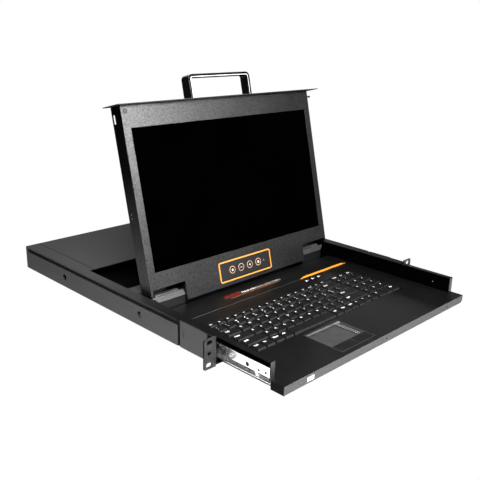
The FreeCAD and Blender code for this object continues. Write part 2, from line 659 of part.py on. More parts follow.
# Hinge blocks on the tray, each with a friction barrel and a sloping front plate.
block_x = (notch_in + block_play, notch_in + block_play + block_w)
slope = ((-11.4, -2.3), (-6.2, 5.2))
outline = [(slope[0][0], floor_top - axis_z), slope[0], slope[1], (4.8, 5.2), (9.8, 0.2),
           (9.8, floor_top - axis_z)]
block = prism_x([(axis_y + y, axis_z + z) for y, z in outline], *block_x)
barrel_x = block_x[1] - barrel_len
axis_at = V(block_x[0] - 1, axis_y, axis_z)
block = block.cut(rod(shaft_r + shaft_play, block_w + 2, axis_at, V(1, 0, 0)))
barrel = rod(barrel_r, barrel_len, V(barrel_x, axis_y, axis_z), V(1, 0, 0))
block = block.cut(barrel)
save_both(block, "hinge_blocks")
barrel = barrel.cut(rod(shaft_r + shaft_play, block_w + 2, axis_at, V(1, 0, 0)))
save_both(barrel, "hinge_barrels")
(ya, za), (yb, zb) = slope
run = math.hypot(yb - ya, zb - za)
plate_t = 0.8
corners = [(block_x[0], ya, za), (block_x[1], ya, za), (block_x[1] + 8.2, yb, zb),
           (block_x[0], yb, zb)]
ring = [V(x, axis_y + y, axis_z + z) for x, y, z in corners]
slab = Part.Face(Part.makePolygon(ring + ring[:1]))
slab = slab.extrude(V(0, -(zb - za) / run * plate_t, (yb - ya) / run * plate_t))
save_both(slab, "hinge_plates")

# ================= screen =================
# Built upright with the hinge axis on the X axis, then leaned back and set on the hinge.
front = -shell_front
back = front + shell_d
top = screen_up + screen_h + top_band


def place(shape):
    out = shape.copy()
    out.rotate(V(0, 0, 0), V(1, 0, 0), -tilt)
    out.translate(V(0, axis_y, axis_z))
    return out


def save_screen(shape, node):
    save(place(shape), node)


side_in = shell_half - shell_t
shell = box(-shell_half, shell_half, front, back, -shell_low, top)
shell = shell.cut(box(-side_in, side_in, front + shell_t, back + 1,
                      -shell_low + shell_t, top - shell_t))
for side in (-1, 1):
    a, b = sorted((side * notch_in, side * (shell_half + 1)))
    shell = shell.cut(box(a, b, front - 1, back + 1, -shell_low - 1, notch_side))
    a, b = sorted((side * notch_in, side * notch_out))
    shell = shell.cut(box(a, b, front - 1, back + 1, -shell_low - 1, notch_up))
    shell = shell.fuse(box(a, b, front, back, notch_up, notch_up + shell_t))
    a, b = sorted((side * (notch_in - shell_t), side * notch_in))
    shell = shell.fuse(box(a, b, front, back, -shell_low, notch_up + shell_t))
    a, b = sorted((side * (shell_half - shell_t), side * shell_half))
    slot_z = screen_up + screen_h + side_slot_up
    shell = shell.cut(box(a - 1, b + 1, front + 16.4, front + 21.6, slot_z - 6.5, slot_z + 6.5))
    for k in range(8):
        vent_z = screen_up + 90 - 5.8 * k
        shell = shell.cut(rod(1.2, 4, V(a - 1, front + 17, vent_z), V(1, 0, 0)))
shell = shell.cut(box(-screen_w / 2, screen_w / 2, front - 1, front + shell_t + 1,
                      screen_up, screen_up + screen_h))
shell = shell.cut(rod(shaft_r + 0.2, 2 * rack_w, V(-rack_w, 0, 0), V(1, 0, 0)))
osd_buttons = [osd_first + k * osd_pitch for k in range(4)]
for x in osd_buttons:
    shell = shell.cut(rod(cap_r + cap_play, 4, V(x, front - 1, osd_up), V(0, 1, 0)))
pin_z = screen_up + screen_h + latch_up
pin_y = front + 3.5
shell = shell.cut(rod(2.3, 4, V(side_in - 1, pin_y, pin_z), V(1, 0, 0)))
save_screen(shell.removeSplitter(), "screen_shell")

# Recessed back, stepping out to full depth around the hinges.
back_y = front + back_depth
step_z = notch_up + shell_t
cover = box(-side_in, side_in, back_y, back_y + shell_t, step_z, top - shell_t)
low_half = notch_in - shell_t
cover = cover.fuse(box(-low_half, low_half, back_y, back, step_z, step_z + shell_t))
cover = cover.fuse(box(-low_half, low_half, back - shell_t, back,
                       -shell_low + shell_t, step_z + shell_t))
save_screen(cover.removeSplitter(), "screen_back")

# Display module held between two side rails.
module_half = side_in - module_in
module_z0 = screen_up - module_over
module = box(-module_half, module_half, front + shell_t, front + shell_t + module_deep,
             module_z0, module_z0 + screen_h + module_h)
save_screen(module, "display_module")
guide_x = module_half - 7
rail = box(module_half, side_in, front + shell_t, back_y, screen_up, pin_z + 5)
rail = rail.fuse(box(guide_x, side_in, front + shell_t, back_y, pin_z - 5, pin_z + 5))
rail = rail.cut(rod(pin_r + pin_play, 20, V(guide_x - 3, pin_y, pin_z), V(1, 0, 0)))
rail = rail.removeSplitter()
save_screen(Part.makeCompound([rail, flip(rail)]), "display_rails")

# The panel that closes the rack opening when the drawer is folded and pushed in.
panel_half = lip_half - panel_play
panel_front = panel_rise - axis_z
panel = box(-panel_half, panel_half, panel_front, panel_front + ear_h - panel_less,
            top, top + panel_t)
save_screen(panel, "front_panel")

# Handle: a flat bar bent to a U.
grip_z = top + panel_t
grip_y = front + grip_back
outer = box(-grip_half, grip_half, grip_y, grip_y + grip_w, grip_z, grip_z + grip_reach)
inner = box(-grip_half + grip_t, grip_half - grip_t, grip_y - 1, grip_y + grip_w + 1,
            grip_z - 1, grip_z + grip_reach - grip_t)


def round_top(shape, r):
    z_top = shape.BoundBox.ZMax
    edges = [e for e in shape.Edges if abs(e.CenterOfMass.z - z_top) < 0.01
             and abs(e.CenterOfMass.x) > 1 and e.BoundBox.XLength < 0.01]
    return shape.makeFillet(r, edges)


grip = round_top(outer, grip_r).cut(round_top(inner, grip_r - grip_t))
save_screen(grip, "handle")

# Hinge arms: a shaft on each side, with the block and leaf that hold it inside the shell.
leaf_x = (notch_in - leaf_in - leaf_w, notch_in - leaf_in)
arm = box(*leaf_x, -6, 6, -shell_low + shell_t, 8)
arm = arm.fuse(box(*leaf_x, back_y - 2.4, back_y, 8, leaf_h))
arm = arm.fuse(rod(shaft_r, block_x[1] - 1 - leaf_x[0], V(leaf_x[0], 0, 0), V(1, 0, 0)))
save_both(place(arm.removeSplitter()), "hinge_arms")

# Button panel: gilt frame, four ringed buttons and the board behind them.


def rounded_plate(x0, x1, z0, z1, r):
    plate = box(x0, x1, front - osd_t, front, z0, z1)
    return plate.makeFillet(r, [e for e in plate.Edges if e.BoundBox.YLength > osd_t / 2])


osd = rounded_plate(*osd_x, *osd_z, 4.0)
hollow = rounded_plate(osd_x[0] + osd_trim, osd_x[1] - osd_trim,
                       osd_z[0] + osd_trim, osd_z[1] - osd_trim, 4.0 - osd_trim)
save_screen(osd.cut(hollow), "button_frame")
rings = []
for x in osd_buttons:
    disc = rod(ring_r, osd_t, V(x, front - osd_t, osd_up), V(0, 1, 0))
    rings.append(disc.cut(rod(cap_r + cap_play, 2, V(x, front - 1, osd_up), V(0, 1, 0))))
save_screen(Part.makeCompound(rings), "button_rings")
board_gap = 2.7
board_y = front + shell_t + board_gap
osd_board = box(osd_x[0] + 4, osd_x[1] - 4, board_y, board_y + 1.2, osd_up - 8.6, osd_up + 8.4)
for n, x in enumerate(osd_buttons):
    axis = V(x, front - 0.9, osd_up)
    button = rod(cap_r, 3.6, axis, V(0, 1, 0))
    button = button.fuse(rod(1.5, 7.0, axis, V(0, 1, 0)))
    save_screen(button.removeSplitter(), "menu_button_%d" % (n + 1))
    osd_board = osd_board.cut(rod(1.55, 4, V(x, board_y - 1, osd_up), V(0, 1, 0)))
for x in (osd_x[0] + 8, osd_x[1] - 8):
    osd_board = osd_board.fuse(rod(2.0, board_gap, V(x, front + shell_t, osd_up), V(0, 1, 0)))
save_screen(osd_board.removeSplitter(), "button_board")

# Side latch pin with a ball end, guided by the widened top of the right-hand rail.
pin_end = shell_half + pin_out
pin = rod(pin_r, pin_len, V(pin_end - pin_len, pin_y, pin_z), V(1, 0, 0))
pin = pin.fuse(Part.makeSphere(1.9, V(pin_end, pin_y, pin_z)))
save_screen(pin.removeSplitter(), "latch_pin")

# Screws: round heads that stand on the sheet they hold.
heads = []
for y, z in ((leg_len - 5, 23.2), (leg_len - 7, 18.4)):
    for side in (-1, 1):
        heads.append(rod(1.5, 0.5, V(side * bar_out, y, z), V(side, 0, 0)))
for x in (-post_x, -screw_in, screw_in, post_x):
    heads.append(rod(2.6, 1.2, V(x, body_len, rim_z - 4.8), V(0, 1, 0)))
save(Part.makeCompound(heads), "case_screws")
heads = []
for z in (screen_up - 13.7, screen_up + 20.7):
    for side in (-1, 1):
        heads.append(rod(1.6, 0.5, V(side * shell_half, front + 4.2, z), V(side, 0, 0)))
heads.append(rod(1.7, 0.5, V(shell_half - 34.6, front, pin_z + 2.4), V(0, -1, 0)))
for x in (-screw_out, -screw_in, screw_in, screw_out):
    for z in (screen_up + screw_edge - 0.8, top - screw_edge):
        heads.append(rod(2.4, 1.0, V(x, back_y + shell_t, z), V(0, 1, 0)))
save_screen(Part.makeCompound(heads), "screen_screws")
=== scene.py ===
import json
import math

import bmesh
import bpy
import numpy as np
from mathutils import Matrix, Vector


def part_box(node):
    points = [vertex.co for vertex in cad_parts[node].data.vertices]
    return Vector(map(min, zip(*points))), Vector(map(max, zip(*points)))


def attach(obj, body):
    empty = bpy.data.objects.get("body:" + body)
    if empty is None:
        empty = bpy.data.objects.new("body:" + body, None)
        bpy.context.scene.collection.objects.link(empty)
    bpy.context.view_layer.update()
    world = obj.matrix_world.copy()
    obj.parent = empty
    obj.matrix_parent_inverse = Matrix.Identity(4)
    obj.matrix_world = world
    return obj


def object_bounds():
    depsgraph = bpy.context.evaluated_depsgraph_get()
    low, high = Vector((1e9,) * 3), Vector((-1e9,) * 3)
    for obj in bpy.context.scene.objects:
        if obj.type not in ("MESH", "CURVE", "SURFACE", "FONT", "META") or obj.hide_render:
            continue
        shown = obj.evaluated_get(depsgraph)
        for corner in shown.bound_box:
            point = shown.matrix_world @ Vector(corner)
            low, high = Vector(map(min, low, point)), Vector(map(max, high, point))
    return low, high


# Looks of a rackmount screen and keyboard drawer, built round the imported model.
# X to the right, Y into the rack, Z up. Lengths are in metres, and those that are
# multiplied by MM where they are used are in millimetres.

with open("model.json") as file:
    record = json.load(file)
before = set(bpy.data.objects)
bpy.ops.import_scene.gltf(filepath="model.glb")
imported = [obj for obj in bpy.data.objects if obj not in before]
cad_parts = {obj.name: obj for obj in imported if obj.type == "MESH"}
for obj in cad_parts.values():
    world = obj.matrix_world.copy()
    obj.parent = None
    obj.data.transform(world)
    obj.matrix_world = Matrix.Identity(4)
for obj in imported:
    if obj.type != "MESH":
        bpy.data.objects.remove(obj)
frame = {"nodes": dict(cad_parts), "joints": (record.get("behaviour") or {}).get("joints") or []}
size_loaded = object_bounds()
MM = 0.001


# ---------------------------------------------------------------- camera

CAMERA_AT = (-0.760488, -0.584834, 0.405439)
CAMERA_TURN = (44.764, -17.63, 1.076)      # yaw to the right, pitch, roll, in degrees
LENS, SENSOR = 50.715, 36.0                # mm


def camera():
    """A lens at the front left, a little above the drawer."""
    yaw, pitch, roll = (math.radians(a) for a in CAMERA_TURN)
    ahead = Vector((math.sin(yaw) * math.cos(pitch), math.cos(yaw) * math.cos(pitch),
                    math.sin(pitch)))
    level = Vector((math.cos(yaw), -math.sin(yaw), 0))
    upright = level.cross(ahead)
    right = level * math.cos(roll) + upright * math.sin(roll)
    up = upright * math.cos(roll) - level * math.sin(roll)
    data = bpy.data.cameras.new("camera")
    data.lens = LENS
    data.sensor_width = SENSOR
    data.clip_start = 0.05
    data.clip_end = 50
    cam = bpy.data.objects.new("camera", data)
    bpy.context.scene.collection.objects.link(cam)
    turn = Matrix((right, up, -ahead)).transposed()
    cam.matrix_world = Matrix.Translation(CAMERA_AT) @ turn.to_4x4()
    bpy.context.scene.camera = cam


camera()


# ---------------------------------------------------------------- materials

def new_material(name):
    """A material, its node tree and its shader."""
    mat = bpy.data.materials.new(name)
    mat.use_nodes = True
    tree = mat.node_tree
    return mat, tree, tree.nodes["Principled BSDF"]


def noise(tree, scale, detail=3.0, stretch=(1, 1, 1), rough=0.55):
    """Noise over the piece's own axes, with scale in cells per metre."""
    where = tree.nodes.new("ShaderNodeTexCoord")
    mapping = tree.nodes.new("ShaderNodeMapping")
    mapping.inputs["Scale"].default_value = stretch
    tree.links.new(where.outputs["Object"], mapping.inputs["Vector"])
    tex = tree.nodes.new("ShaderNodeTexNoise")
    tex.inputs["Scale"].default_value = scale
    tex.inputs["Detail"].default_value = detail
    tex.inputs["Roughness"].default_value = rough
    tree.links.new(mapping.outputs["Vector"], tex.inputs["Vector"])
    return tex.outputs["Fac"]


def ramp(tree, fac, stops):
    """A colour ramp; stops are (place, colour)."""
    node = tree.nodes.new("ShaderNodeValToRGB")
    marks = node.color_ramp.elements
    while len(marks) < len(stops):
        marks.new(0.5)
    for mark, (place, colour) in zip(marks, stops):
        mark.position = place
        mark.color = (*colour, 1)
    tree.links.new(fac, node.inputs["Fac"])
    return node.outputs["Color"]


def calc(tree, operation, a, b):
    """One math node; a and b are sockets or numbers."""
    node = tree.nodes.new("ShaderNodeMath")
    node.operation = operation
    for socket, value in zip(node.inputs, (a, b)):
        if isinstance(value, (int, float)):
            socket.default_value = value
        else:
            tree.links.new(value, socket)
    return node.outputs[0]


def between(tree, value, low, high, to_low=0.0, to_high=1.0):
    """value from low to high as a number from to_low to to_high, held at both ends."""
    node = tree.nodes.new("ShaderNodeMapRange")
    for name, number in (("From Min", low), ("From Max", high), ("To Min", to_low),
                         ("To Max", to_high)):
        node.inputs[name].default_value = number
    tree.links.new(value, node.inputs["Value"])
    return node.outputs["Result"]


def spread_to(tree, fac, low, high):
    """Noise, mostly 0.3 to 0.7, spread over low to high."""
    return between(tree, fac, 0.3, 0.7, low, high)


def bump(tree, fac, strength, distance, radius=0.0):
    """Bump over a normal rounded at the edges by radius."""
    node = tree.nodes.new("ShaderNodeBump")
    node.inputs["Strength"].default_value = strength
    node.inputs["Distance"].default_value = distance
    tree.links.new(fac, node.inputs["Height"])
    if radius:
        soft = tree.nodes.new("ShaderNodeBevel")
        soft.samples = 4
        soft.inputs["Radius"].default_value = radius
        tree.links.new(soft.outputs["Normal"], node.inputs["Normal"])
    return node.outputs["Normal"]


def grey(v):
    """A grey with a trace of blue."""
    return (v, v, v * 1.02)


def powder_coat(name, base, rough=0.5, grain=1400, depth=0.35, specular=0.5, edge=0.0006):
    """Fine-textured black powder coat: small bumps, cloudy sheen, softened edges."""
    mat, tree, shader = new_material(name)
    fine = noise(tree, grain, 4.0)
    cloud = noise(tree, 22, 3.0)
    tree.links.new(ramp(tree, cloud, [(0.3, grey(base * 0.8)), (0.7, grey(base * 1.2))]),
                   shader.inputs["Base Color"])
    tree.links.new(spread_to(tree, cloud, rough - 0.015, rough + 0.015),
                   shader.inputs["Roughness"])
    tree.links.new(bump(tree, fine, depth, 0.0004, edge), shader.inputs["Normal"])
    shader.inputs["Specular IOR Level"].default_value = specular
    return mat


def own_axes(tree, what):
    """The x, y and z of a texture coordinate output."""
    where = tree.nodes.new("ShaderNodeTexCoord")
    parts = tree.nodes.new("ShaderNodeSeparateXYZ")
    tree.links.new(where.outputs[what], parts.inputs[0])
    return parts.outputs


# Share of a normal along an axis: a face that begins to look that way, and one that does.
TURNED, SQUARE = 0.6, 0.9


def looking(tree, share, away=0.0, square=1.0):
    """away for faces that look elsewhere and square for those that look along the axis."""
    return between(tree, share, TURNED, SQUARE, away, square)


def scale_colour(tree, shader, factor):
    """Multiplies the base colour that is linked to shader by factor."""
    link = shader.inputs["Base Color"].links[0]
    mix = tree.nodes.new("ShaderNodeVectorMath")
    mix.operation = "SCALE"
    tree.links.new(link.from_socket, mix.inputs[0])
    tree.links.new(factor, mix.inputs["Scale"])
    tree.links.new(mix.outputs[0], shader.inputs["Base Color"])


def mottled(name, base, rough, specular, grain=560, spread=0.5):
    """Powder coat with coarse grain: each cell shines a little more or less."""
    mat = powder_coat(name, base, rough, 620, 0.5)
    tree = mat.node_tree
    cells = between(tree, noise(tree, grain, 2.0), 0.33, 0.67, specular * (1 - spread),
                    specular * (1 + spread))
    tree.links.new(cells, tree.nodes["Principled BSDF"].inputs["Specular IOR Level"])
    return mat, tree, cells


def shell_coat(name):
    """Bezel coat, with painted shade on the side walls, darker towards the top."""
    mat, tree, cells = mottled(name, 0.004, 0.3, 0.5)
    shader = tree.nodes["Principled BSDF"]
    # Painted shade: the side walls darken towards the top, in colour and sheen.
    side = looking(tree, calc(tree, "ABSOLUTE", own_axes(tree, "Normal")[0], 0))
    side_shade = calc(tree, "MULTIPLY", side,
                between(tree, own_axes(tree, "Object")[2], 0.0, 0.2, 0.2, 0.93))
    unshaded = calc(tree, "SUBTRACT", 1, side_shade)
    scale_colour(tree, shader, unshaded)
    tree.links.new(calc(tree, "MULTIPLY", unshaded, cells), shader.inputs["Specular IOR Level"])
    return mat


def painted_light_coat(name, coat_args, sides, fronts=1.0, y_span=None):
    """Powder coat with painted light and shade: its colour and sheen are multiplied by sides
    on the left and right faces and by fronts on the front faces. With y_span the side faces go
    from that back to the plain coat, from its first y to its second."""
    mat = powder_coat(name, *coat_args)
    tree = mat.node_tree
    shader = tree.nodes["Principled BSDF"]
    facing = own_axes(tree, "Normal")
    # Painted light and shade, by the way each face looks.
    side = looking(tree, calc(tree, "ABSOLUTE", facing[0], 0))
    if y_span:
        near = between(tree, own_axes(tree, "Object")[1], *y_span, 1.0, 0.0)
        side = calc(tree, "MULTIPLY", side, near)
    front = looking(tree, calc(tree, "MULTIPLY", facing[1], -1), 1.0, fronts)
    factor = calc(tree, "MULTIPLY", between(tree, side, 0.0, 1.0, 1.0, sides), front)
    scale_colour(tree, shader, factor)
    plain = shader.inputs["Specular IOR Level"].default_value
    tree.links.new(calc(tree, "MULTIPLY", factor, plain), shader.inputs["Specular IOR Level"])
    return mat


def rim_coat(name, y_full_shade, y_no_shade):
    """Chassis coat with painted shade, darker up to y_full_shade and unchanged from y_no_shade
    on.
    """
    mat = powder_coat(name, 0.016, 0.42, 1400, 0.2)
    tree = mat.node_tree
    shader = tree.nodes["Principled BSDF"]
    # Painted shade: darker towards the front, in colour and sheen.
    factor = between(tree, own_axes(tree, "Object")[1], y_full_shade, y_no_shade, 0.2, 1.0)
    scale_colour(tree, shader, factor)
    tree.links.new(calc(tree, "MULTIPLY", factor, 0.5), shader.inputs["Specular IOR Level"])
    return mat


def pad_plastic(name, z_mark):
    """Touchpad frame: dark, with the ridge above z_mark in a lighter grey."""
    mat = plastic(name, (0.016, 0.016, 0.016), 0.42)
    tree = mat.node_tree
    high = between(tree, own_axes(tree, "Object")[2], z_mark, z_mark + 0.1 * MM, 1.0, 9.0)
    scale_colour(tree, tree.nodes["Principled BSDF"], high)
    return mat


def plastic(name, colour, rough=0.4, grain=2500, depth=0.15, specular=0.5):
    """Moulded plastic with a fine spark-eroded grain."""
    mat, tree, shader = new_material(name)
    fine = noise(tree, grain, 3.0)
    cloud = noise(tree, 60, 2.0)
    dark = tuple(c * 0.85 for c in colour)
    light = tuple(c * 1.12 for c in colour)
    tree.links.new(ramp(tree, cloud, [(0.3, dark), (0.7, light)]), shader.inputs["Base Color"])
    tree.links.new(spread_to(tree, fine, rough - 0.05, rough + 0.05), shader.inputs["Roughness"])
    tree.links.new(bump(tree, fine, depth, 0.0001, 0.0002), shader.inputs["Normal"])
    shader.inputs["Specular IOR Level"].default_value = specular
    return mat


def metal(name, colour, rough=0.3, grain=(1, 0.02, 1), scale=2500, depth=0.2):
    """Plated or brushed metal with drawing lines along the stretched axis."""
    mat, tree, shader = new_material(name)
    lines = noise(tree, scale, 3.0, grain)
    cloud = noise(tree, 45, 3.0)
    dark = tuple(c * 0.82 for c in colour)
    tree.links.new(ramp(tree, cloud, [(0.3, dark), (0.7, colour)]), shader.inputs["Base Color"])
    tree.links.new(spread_to(tree, cloud, rough - 0.06, rough + 0.08),
                   shader.inputs["Roughness"])
    tree.links.new(bump(tree, lines, depth, 0.0001, 0.0003), shader.inputs["Normal"])
    shader.inputs["Metallic"].default_value = 1.0
    return mat


def ink(name, colour, rough=0.5, painted_glow=0.0):
    """Printed ink or trim, a little uneven, that may glow a little; the glow is painted light."""
    mat, tree, shader = new_material(name)
    fine = noise(tree, 900, 3.0)
    thin = tuple(c * 0.85 for c in colour)
    tree.links.new(ramp(tree, fine, [(0.35, thin), (0.65, colour)]), shader.inputs["Base Color"])
    tree.links.new(spread_to(tree, fine, rough - 0.05, rough + 0.05), shader.inputs["Roughness"])
    # Painted light: a glow on a part that is no lamp.
    if painted_glow:
        shader.inputs["Emission Color"].default_value = (*colour, 1)
        shader.inputs["Emission Strength"].default_value = painted_glow
    return mat


def display_glass(name):
    """The dark face of a switched-off display."""
    mat, tree, shader = new_material(name)
    cloud = noise(tree, 12, 2.0)
    tree.links.new(ramp(tree, cloud, [(0.3, (0.00005,) * 3), (0.7, (0.0002,) * 3)]),
                   shader.inputs["Base Color"])
    tree.links.new(spread_to(tree, cloud, 0.30, 0.36), shader.inputs["Roughness"])
    shader.inputs["Specular IOR Level"].default_value = 0.0
    return mat


coat = powder_coat("powder_coat_chassis", 0.016, 0.42, 1400, 0.2, 0.5, 0.001)
# Painted shade on the ears' side faces near the front, behind the ear plates.
coat_ear = painted_light_coat("powder_coat_ear", (0.014, 0.42, 1400, 0.2, 0.5, 0.001), 0.03, 1.0,
                       (14 * MM, 18 * MM))
# Painted light on the front faces of the lip and painted shade on the side faces of the deck and
# tray.
coat_lip = painted_light_coat("powder_coat_lip", (0.003, 0.36, 1600, 0.15, 0.32, 0.0008), 0.12, 2.6)
# Painted shade on the side walls of the screen shell.
coat_bezel = shell_coat("powder_coat_bezel")
coat_deck = powder_coat("powder_coat_deck", 0.003, 0.38, 1600, 0.15, 0.35)
# Near-black coat: painted shade on the chassis pan, seen in the groove along the side, and on the
# inner parts; it also colours the dark joints of the rear cover.
coat_shade_and_joints = powder_coat("powder_coat_shade_and_joints", 0.002, 0.6, 1400, 0.2, 0.1)
# Painted shade on the rims and the front panel, towards the front.
coat_rim = rim_coat("powder_coat_rim", 80 * MM, 300 * MM)
coat_hinge = mottled("powder_coat_hinge", 0.007, 0.42, 0.6)[0]
coat_gloss = powder_coat("gloss_coat_handle", 0.002, 0.16, 400, 0.02, 0.6, 0.001)
key_black = plastic("key_plastic", (0.004, 0.004, 0.004), 0.5, specular=0.2)
pad_grey = plastic("pad_plastic", (0.026, 0.026, 0.026), 0.4)
pad_light = plastic("pad_ridge_plastic", (0.05, 0.05, 0.05), 0.4)
pad_frame = pad_plastic("pad_frame_plastic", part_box("touchpad_frame")[1].z - 0.5 * MM)
socket_black = plastic("socket_plastic", (0.02, 0.02, 0.02), 0.45)
zinc = metal("zinc_plate", (0.93, 0.94, 0.95), 0.2)
# Dark zinc as painted shade, on the cabinet members and along the grooves of the drawer members.
zinc_shade = metal("zinc_in_shadow", (0.1, 0.1, 0.1), 0.5)
zinc_dark = metal("zinc_plate_oiled", (0.32, 0.33, 0.34), 0.38)
ball_steel = metal("ball_steel", (0.85, 0.85, 0.86), 0.12, (1, 1, 1), 800, 0.05)
satin = metal("satin_steel", (0.42, 0.42, 0.43), 0.42, (0.02, 1, 1))
# The glow given to these inks and trims is painted light.
gilt = ink("gilt_trim", (0.52, 0.23, 0.035), 0.35, 0.03)
copper = ink("copper_ring", (0.36, 0.22, 0.14), 0.35, 0.02)
board_green = plastic("circuit_board", (0.01, 0.09, 0.04), 0.45)
glass_black = display_glass("display_face")
orange = ink("orange_print", (0.85, 0.27, 0.02), 0.45, 0.1)
rust = ink("faint_orange_print", (0.35, 0.12, 0.02), 0.5)
red = ink("red_print", (0.17, 0.004, 0.009), 0.5)
white = ink("white_print", (0.8, 0.8, 0.8), 0.5, 0.3)
faint = ink("faint_print", (0.3, 0.3, 0.3), 0.5)
pale = ink("pale_label", (0.7, 0.7, 0.69), 0.4, 0.15)
screw_black = metal("black_oxide", (0.05, 0.05, 0.05), 0.35, (1, 1, 1), 900)


def dress(mat, *nodes):
    """Gives the CAD nodes one material."""
    for n in nodes:
        mesh = frame["nodes"][n].data
        mesh.materials.clear()
        mesh.materials.append(mat)


dress(coat, "mount_bars", "rear_cover", "rear_panel", "rear_shelf")
# The ears carry painted shade on their side faces near the front.
dress(coat_ear, "rack_ear_left", "rack_ear_right")
# The rims and front panel carry painted shade towards the front.
dress(coat_rim, "top_rims", "front_panel")
# The screen shell carries painted shade on its side walls.
dress(coat_bezel, "screen_shell")
# Painted light on the lip's front and painted shade on the tray's side walls.
dress(coat_lip, "deck_plate", "tray_pan")
dress(coat_deck, "hinge_blocks")
dress(coat_hinge, "hinge_plates")
dress(coat_gloss, "handle")
# Painted shade on the pan and the inner parts.
dress(coat_shade_and_joints, "chassis_pan", "bay_wall", "screen_back", "keyboard_base")
dress(key_black, "keys_function_row", "keys_number_row", "keys_tab_row", "keys_home_row",
      "keys_shift_row", "keys_space_row", "key_space", "keys_number_pad",
      "touchpad_button_left", "touchpad_button_right",
      "menu_button_1", "menu_button_2", "menu_button_3", "menu_button_4")
dress(pad_grey, "touchpad_plate")
dress(pad_frame, "touchpad_frame")
dress(socket_black, "power_inlet", "switch_body", "switch_rocker")
dress(zinc, "slide_drawers", "slide_middles", "video_socket", "usb_sockets")
# The cabinet members are drawn in painted shade.
dress(zinc_shade, "slide_cabinets")
dress(zinc_dark, "cages_outer", "cages_inner")
dress(ball_steel, "balls_outer", "balls_inner")
dress(satin, "hinge_barrels", "hinge_arms", "display_rails", "bay_posts",
      "deck_posts", "power_supply")
dress(gilt, "button_frame")
dress(copper, "button_rings")
dress(board_green, "button_board", "switch_board")
dress(glass_black, "display_module")
dress(screw_black, "case_screws", "screen_screws", "latch_pin")


# ---------------------------------------------------------------- mesh helpers

def add_object(name, bm, mat, body):
    """Makes a piece of bm that moves with body."""
    mesh = bpy.data.meshes.new(name)
    bm.normal_update()
    bm.to_mesh(mesh)
    bm.free()
    mesh.materials.append(mat)
    obj = bpy.data.objects.new(name, mesh)
    bpy.context.scene.collection.objects.link(obj)
    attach(obj, body)


def add_prism(bm, points, z0, z1, at=Matrix.Identity(4)):
    """A flat outline of (x, y) points, from z0 up to z1."""
    low = [bm.verts.new(at @ Vector((x, y, z0))) for x, y in points]
    high = [bm.verts.new(at @ Vector((x, y, z1))) for x, y in points]
    bm.faces.new(low[::-1])
    bm.faces.new(high)
    n = len(points)
    for k in range(n):
        bm.faces.new((low[k], low[(k + 1) % n], high[(k + 1) % n], high[k]))


def rounded(x0, x1, y0, y1, r, steps=5):
    """Outline of a rectangle with rounded corners."""
    points = []
    for cx, cy, start in ((x1 - r, y0 + r, -90), (x1 - r, y1 - r, 0),
                          (x0 + r, y1 - r, 90), (x0 + r, y0 + r, 180)):
        for k in range(steps + 1):
            a = math.radians(start + 90 * k / steps)
            points.append((cx + r * math.cos(a), cy + r * math.sin(a)))
    return points


def circle(x, y, r, steps=32):
    """Outline of a circle."""
    return [(x + r * math.cos(2 * math.pi * k / steps), y + r * math.sin(2 * math.pi * k / steps))
            for k in range(steps)]


def soften(node, width):
    """Rounds the edges of a CAD node as it is shown."""
    obj = frame["nodes"][node]
    weld = obj.modifiers.new("weld", "WELD")
    weld.merge_threshold = 1e-6
    bevel = obj.modifiers.new("bevel", "BEVEL")
    bevel.width = width
    bevel.segments = 2
    bevel.limit_method = "ANGLE"
    bevel.angle_limit = math.radians(40)
    bevel.harden_normals = False


# ---------------------------------------------------------------- places

CAP_RISE = 1.7 * MM         # key tops over the deck
LEAN = math.radians(13.23)  # of the open screen
BEZEL_FRONT = 14.3 * MM     # bezel face in front of the hinge axis
PRINT = 0.04 * MM           # thickness of printed ink
key_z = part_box("key_space")[1].z
deck_z = key_z - CAP_RISE
hinge = next(j for j in frame["joints"] if j["name"] == "screen_hinge")
# The screen's own axes: X right, Y up the bezel from the hinge, Z out of the bezel.
screen_at = (Matrix.Translation(Vector(hinge["pos_m"]))
             @ Matrix.Rotation(math.radians(90) - LEAN, 4, "X")
             @ Matrix.Translation((0, 0, BEZEL_FRONT)))
deck_at = Matrix.Translation((0, 0, deck_z))


# ---------------------------------------------------------------- keys

def cap_tops(node):
    """(x0, x1, y0, y1) of each cap's top face, from front to back and left to right."""
    co = np.array([v.co for v in frame["nodes"][node].data.vertices])
    top = co[co[:, 2] > co[:, 2].max() - 0.01 * MM]
    xs = sorted(set(np.round(top[:, 0], 5)))
    ys = sorted(set(np.round(top[:, 1], 5)))
    rows = [(ys[k], ys[k + 1]) for k in range(0, len(ys), 2)]
    columns = [(xs[k], xs[k + 1]) for k in range(0, len(xs), 2)]
    return [(a, b, c, d) for c, d in rows for a, b in columns]


FONT_SIZE = 1.36            # size of the font for a legend one unit high


def text_mesh(bm, text, x, y, height, at, bold=0.03, lift=0.05 * MM):
    """Adds text with its upper left corner at (x, y) to bm as flat faces."""
    curve = bpy.data.curves.new("legend", "FONT")
    curve.body = text
    curve.size = height * FONT_SIZE
    curve.resolution_u = 2
    curve.offset = height * bold
    obj = bpy.data.objects.new("legend", curve)
    mesh = bpy.data.meshes.new_from_object(obj)
    top = max((v.co.y for v in mesh.vertices), default=height)
    left = min((v.co.x for v in mesh.vertices), default=0)
    mesh.transform(at @ Matrix.Translation((x - left, y - top, lift)))
    bm.from_mesh(mesh)
    bpy.data.meshes.remove(mesh)
    bpy.data.objects.remove(obj)
    bpy.data.curves.remove(curve)


